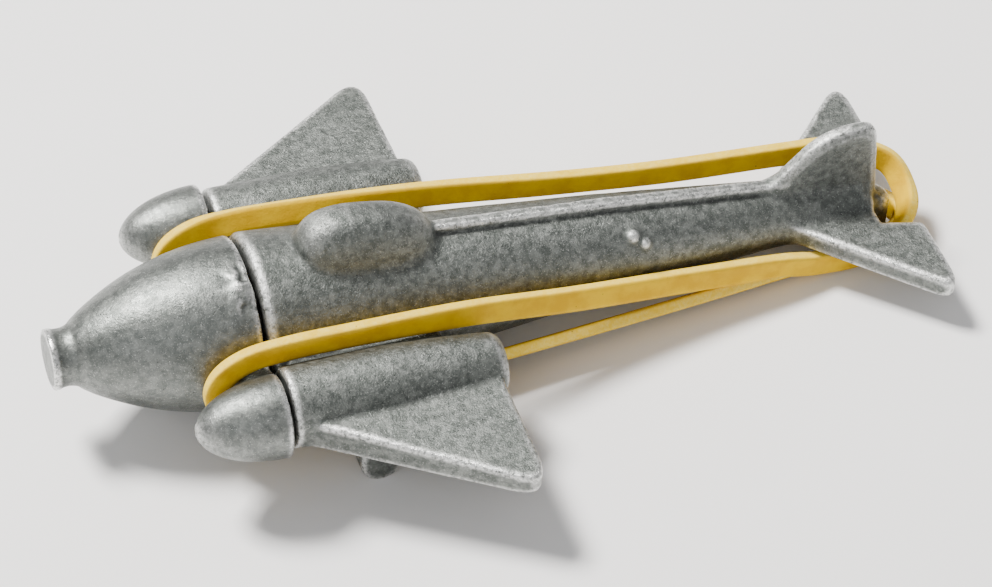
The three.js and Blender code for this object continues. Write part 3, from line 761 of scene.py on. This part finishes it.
def cast_zinc(name, dark, light, grain, gloss, pitting):
    """Die-cast zinc: finely mottled grey with pits and with painted glints as small bright flecks, painted shade
    with grime in inward corners, and edge wear with painted highlight bright along outward edges.
    """
    n = Nodes(name)
    mottle = n.ramp(n.noise(0.95, 6, 0.65, 0.3), 0.36, 0.66)
    colour = n.mix(mottle, dark, light)
    patches = n.ramp(n.noise(0.16, 4, 0.6), 0.40, 0.64)
    colour = n.mix(n.maths("MULTIPLY", patches, 0.35), colour, (0.085, 0.095, 0.086))
    # painted glints: small bright flecks in the colour
    painted_glint = n.ramp(n.noise(4.2, 4, 0.85), 0.56, 0.66)
    colour = n.mix(n.maths("MULTIPLY", painted_glint, 0.55), colour, (0.60, 0.61, 0.58))
    pits = n.ramp(n.cells(1.9), 0.17, 0.07)
    pit_mask = n.ramp(n.noise(0.55, 4, 0.6), 0.58 - pitting * 0.2, 0.70 - pitting * 0.2)
    pits = n.maths("MULTIPLY", pits, pit_mask)
    colour = n.mix(n.maths("MULTIPLY", pits, 0.85), colour, (0.030, 0.031, 0.031))
    # painted shade with grime: colour darkened and roughness raised in inward corners
    crease_shade_and_grime = n.maths("MULTIPLY", n.attribute("crease_shade_and_grime"), n.ramp(n.noise(0.9, 4), 0.22, 0.62))
    colour = n.mix(n.maths("MULTIPLY", crease_shade_and_grime, 0.80), colour, (0.040, 0.042, 0.042))
    # painted highlight with edge wear: colour brightened to near white along outward edges
    wear_and_highlight = n.maths("MULTIPLY", n.attribute("wear_and_highlight"), n.ramp(n.noise(2.0, 5, 0.8), 0.34, 0.58))
    colour = n.mix(n.maths("MULTIPLY", wear_and_highlight, 0.85), colour, (0.88, 0.88, 0.86))
    n.set("Base Color", colour)
    n.set("Metallic", 0.85)
    rough = n.ramp(n.noise(0.9, 5, 0.6), 0.3, 0.7, gloss - 0.06, gloss + 0.10)
    rough = n.maths("SUBTRACT", rough, n.maths("MULTIPLY", wear_and_highlight, 0.12))
    rough = n.maths("ADD", rough, n.maths("MULTIPLY", crease_shade_and_grime, 0.25))
    n.set("Roughness", rough)
    fine = n.bump(n.noise(4.5, 6, 0.7), 0.06 * MM * grain, 1.0)
    coarse = n.bump(n.noise(1.4, 4, 0.6), 0.10 * MM * grain, 0.7, fine)
    deep = n.bump(n.maths("SUBTRACT", 1.0, pits), 0.16 * MM, 1.0, coarse)
    n.set("Normal", deep)
    return n.material


def yellow_rubber():
    """Golden rubber with painted sheen and chalky bloom on its narrow faces, with small dark nicks."""
    n = Nodes("yellow_rubber")
    # painted sheen with chalky bloom: the narrow faces turn pale
    chalk_and_sheen = n.maths("MULTIPLY", n.attribute("chalk_and_sheen"), n.ramp(n.noise(0.5, 5, 0.6), 0.15, 0.60, 0.30, 0.85))
    gold = n.mix(n.ramp(n.noise(0.35, 4), 0.35, 0.65), (0.66, 0.37, 0.0), (0.78, 0.48, 0.0))
    pale = n.mix(n.ramp(n.noise(2.2, 4, 0.7), 0.35, 0.65), (0.84, 0.58, 0.05), (0.88, 0.67, 0.15))
    colour = n.mix(chalk_and_sheen, gold, pale)
    specks = n.ramp(n.noise(1.7, 3, 0.5), 0.735, 0.77)
    colour = n.mix(n.maths("MULTIPLY", specks, 0.7), colour, (0.16, 0.08, 0.01))
    n.set("Base Color", colour)
    n.set("Roughness", n.ramp(n.noise(1.1, 4), 0.3, 0.7, 0.50, 0.66))
    n.set("Specular IOR Level", 0.1)
    grain = n.bump(n.noise(5.0, 4, 0.6), 0.03 * MM, 1.0)
    n.set("Normal", n.bump(n.noise(1.0, 3), 0.10 * MM, 0.6, grain))
    return n.material


def pale_floor():
    """Near-white paper with a faint, broad change of tone."""
    n = Nodes("pale_floor")
    tone = n.ramp(n.noise(0.012, 3), 0.3, 0.7)
    n.set("Base Color", n.mix(tone, (0.88, 0.865, 0.86), (0.91, 0.90, 0.895)))
    n.set("Roughness", 0.85)
    return n.material


# ---- the toy --------------------------------------------------------------------------------

bodies = frame["record"]["behaviour"]["bodies"]
INNER = {"cap_anvil", "striker", "left_guide_peg", "right_guide_peg"}
BAND = "rubber_band"

body_zinc = cast_zinc("body_zinc", (0.095, 0.104, 0.096), (0.215, 0.227, 0.212),
                      grain=1.4, gloss=0.42, pitting=0.5)
body = body_casting()
body.data.materials.append(body_zinc)
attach(body, "airframe")
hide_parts(*[n for n in bodies["airframe"] if n not in INNER and n != BAND])

nose_zinc = cast_zinc("nose_zinc", (0.125, 0.135, 0.127), (0.215, 0.226, 0.212),
                      grain=0.7, gloss=0.36, pitting=0.35)
nose = nose_casting()
nose.data.materials.append(nose_zinc)
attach(nose, "nose")
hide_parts(*[n for n in bodies["nose"] if n not in INNER])

band = rubber_band()
band.data.materials.append(yellow_rubber())
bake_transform(band)
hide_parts(BAND)

inner_zinc = cast_zinc("inner_zinc", (0.10, 0.10, 0.10), (0.24, 0.245, 0.24),
                       grain=1.2, gloss=0.5, pitting=0.8)
for node in sorted(INNER):
    frame["nodes"][node].data.materials.clear()
    frame["nodes"][node].data.materials.append(inner_zinc)

# ---- floor, camera and light ----------------------------------------------------------------

FLOOR = 3.0                    # half its width, in metres
corners = [(-FLOOR, -FLOOR, 0), (FLOOR, -FLOOR, 0), (FLOOR, FLOOR, 0), (-FLOOR, FLOOR, 0)]
floor_mesh = bpy.data.meshes.new("floor")
floor_mesh.from_pydata(corners, [], [(0, 1, 2, 3)])
floor = bpy.data.objects.new("floor", floor_mesh)
bpy.context.scene.collection.objects.link(floor)
floor.data.materials.append(pale_floor())

camera = bpy.data.objects.new("camera", bpy.data.cameras.new("camera"))
bpy.context.scene.collection.objects.link(camera)
camera.data.lens = 131.9
camera.data.sensor_width = 36.0
camera.data.clip_start = 0.01
CAMERA_PLACE = (91.96, 297.70, 315.10)
CAMERA_RIGHT = (-0.94190, 0.33149, 0.05424)
CAMERA_DOWN = (0.19797, 0.67828, -0.70763)
right = row_direction(*CAMERA_RIGHT)
up = -row_direction(*CAMERA_DOWN)
back = right.cross(up)
camera.matrix_world = Matrix((right, up, back)).transposed().to_4x4()
camera.matrix_world.translation = row_point(*CAMERA_PLACE)
bpy.context.scene.camera = camera


def soft_light(name, direction, distance, size, power, colour):
    """A square area light that shines from a direction onto the toy."""
    light = bpy.data.lights.new(name, "AREA")
    light.size = size
    light.energy = power
    light.color = colour
    ob = bpy.data.objects.new(name, light)
    bpy.context.scene.collection.objects.link(ob)
    toward = Vector(direction).normalized()
    ob.location = toward * distance
    ob.rotation_mode = "QUATERNION"
    ob.rotation_quaternion = toward.to_track_quat("Z", "Y")


soft_light("key", (0.37, -0.45, 1.0), distance=1.2, size=0.30, power=38.0, colour=(1.0, 0.985, 0.955))
soft_light("fill", (0.6, 0.9, 0.9), distance=1.5, size=1.2, power=5.0, colour=(0.98, 0.99, 1.0))

world = bpy.data.worlds.new("studio")
world.use_nodes = True
world.node_tree.nodes["Background"].inputs["Color"].default_value = (0.97, 0.98, 1.0, 1)
world.node_tree.nodes["Background"].inputs["Strength"].default_value = 0.46
bpy.context.scene.world = world
